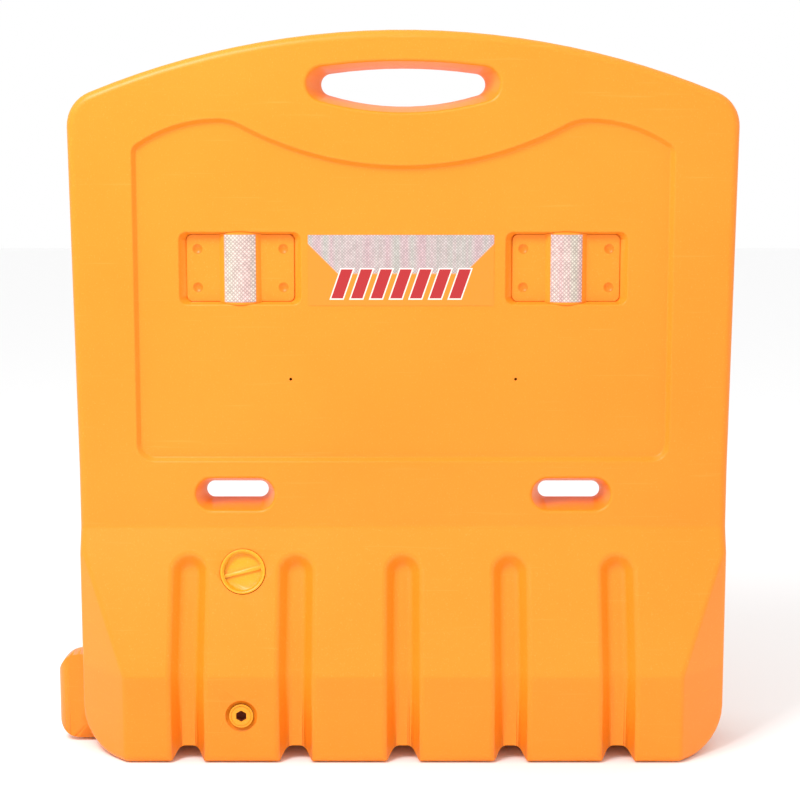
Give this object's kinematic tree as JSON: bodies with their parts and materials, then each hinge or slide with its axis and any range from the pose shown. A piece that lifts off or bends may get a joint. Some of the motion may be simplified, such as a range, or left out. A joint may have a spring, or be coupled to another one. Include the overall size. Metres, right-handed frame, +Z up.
{
  "type": "water filled barrier",
  "caption": "Free-standing moulded pedestrian barrier with a hollow ballast base, screw filler and drain, hand hole, reflectors and end couplings.",
  "frame": {"origin": "on the ground, at the centre of the overall footprint with the coupling lug, midway between the two panel faces", "axes": "+Z up, +X along the width from the lug end to the socket end, the filler and drain face -Y"},
  "size_m": [0.9502, 0.234, 0.9999],
  "materials": {
    "tank_orange": "rotationally moulded polyethylene, satin, finely grained",
    "plate_orange": "injection moulded polyethylene, satin",
    "rivet_orange": "moulded polyamide, satin",
    "insert_orange": "moulded polyethylene, satin",
    "cap_yellow": "injection moulded polypropylene, semi gloss",
    "seal_rubber": "matt black",
    "reflective_film": "prismatic retroreflective film, silver white"
  },
  "bodies": {
    "tank": {"tank_body": "tank_orange", "filler_insert": "insert_orange", "drain_bush": "insert_orange", "reflective_sheet_front": "reflective_film", "reflector_plate_front_left": "plate_orange", "plate_rivets_front_left": "rivet_orange", "ridge_film_front_left": "reflective_film", "reflector_plate_front_right": "plate_orange", "plate_rivets_front_right": "rivet_orange", "ridge_film_front_right": "reflective_film", "reflective_sheet_back": "reflective_film", "reflector_plate_back_left": "plate_orange", "plate_rivets_back_left": "rivet_orange", "ridge_film_back_left": "reflective_film", "reflector_plate_back_right": "plate_orange", "plate_rivets_back_right": "rivet_orange", "ridge_film_back_right": "reflective_film"},
    "filler_seal": {"filler_gasket": "seal_rubber"},
    "filler_bung": {"filler_bung": "cap_yellow"},
    "drain_seal": {"drain_gasket": "seal_rubber"},
    "drain_plug": {"drain_plug": "cap_yellow"}
  },
  "joints": [
    {"name": "filler_unscrew_travel", "type": "slide", "parent": "tank", "child": "filler_seal", "axis": [0, -0.9381, 0.3464], "range_m": [0, 0.018]},
    {"name": "filler_turn", "type": "hinge", "parent": "filler_seal", "child": "filler_bung", "pos_m": [-0.20485, -0.0666, 0.2595], "axis": [0, -0.9381, 0.3464], "range_deg": [0, 1080]},
    {"name": "drain_unscrew_travel", "type": "slide", "parent": "tank", "child": "drain_seal", "axis": [0, -1, 0], "range_m": [0, 0.0127]},
    {"name": "drain_turn", "type": "hinge", "parent": "drain_seal", "child": "drain_plug", "pos_m": [-0.20485, -0.117, 0.068], "axis": [0, -1, 0], "range_deg": [0, 2520]}
  ],
  "couplings": [
    {"joint": "filler_unscrew_travel", "follows": "filler_turn", "m_per_rad": 0.00095493},
    {"joint": "drain_unscrew_travel", "follows": "drain_turn", "m_per_rad": 0.00028871}
  ]
}
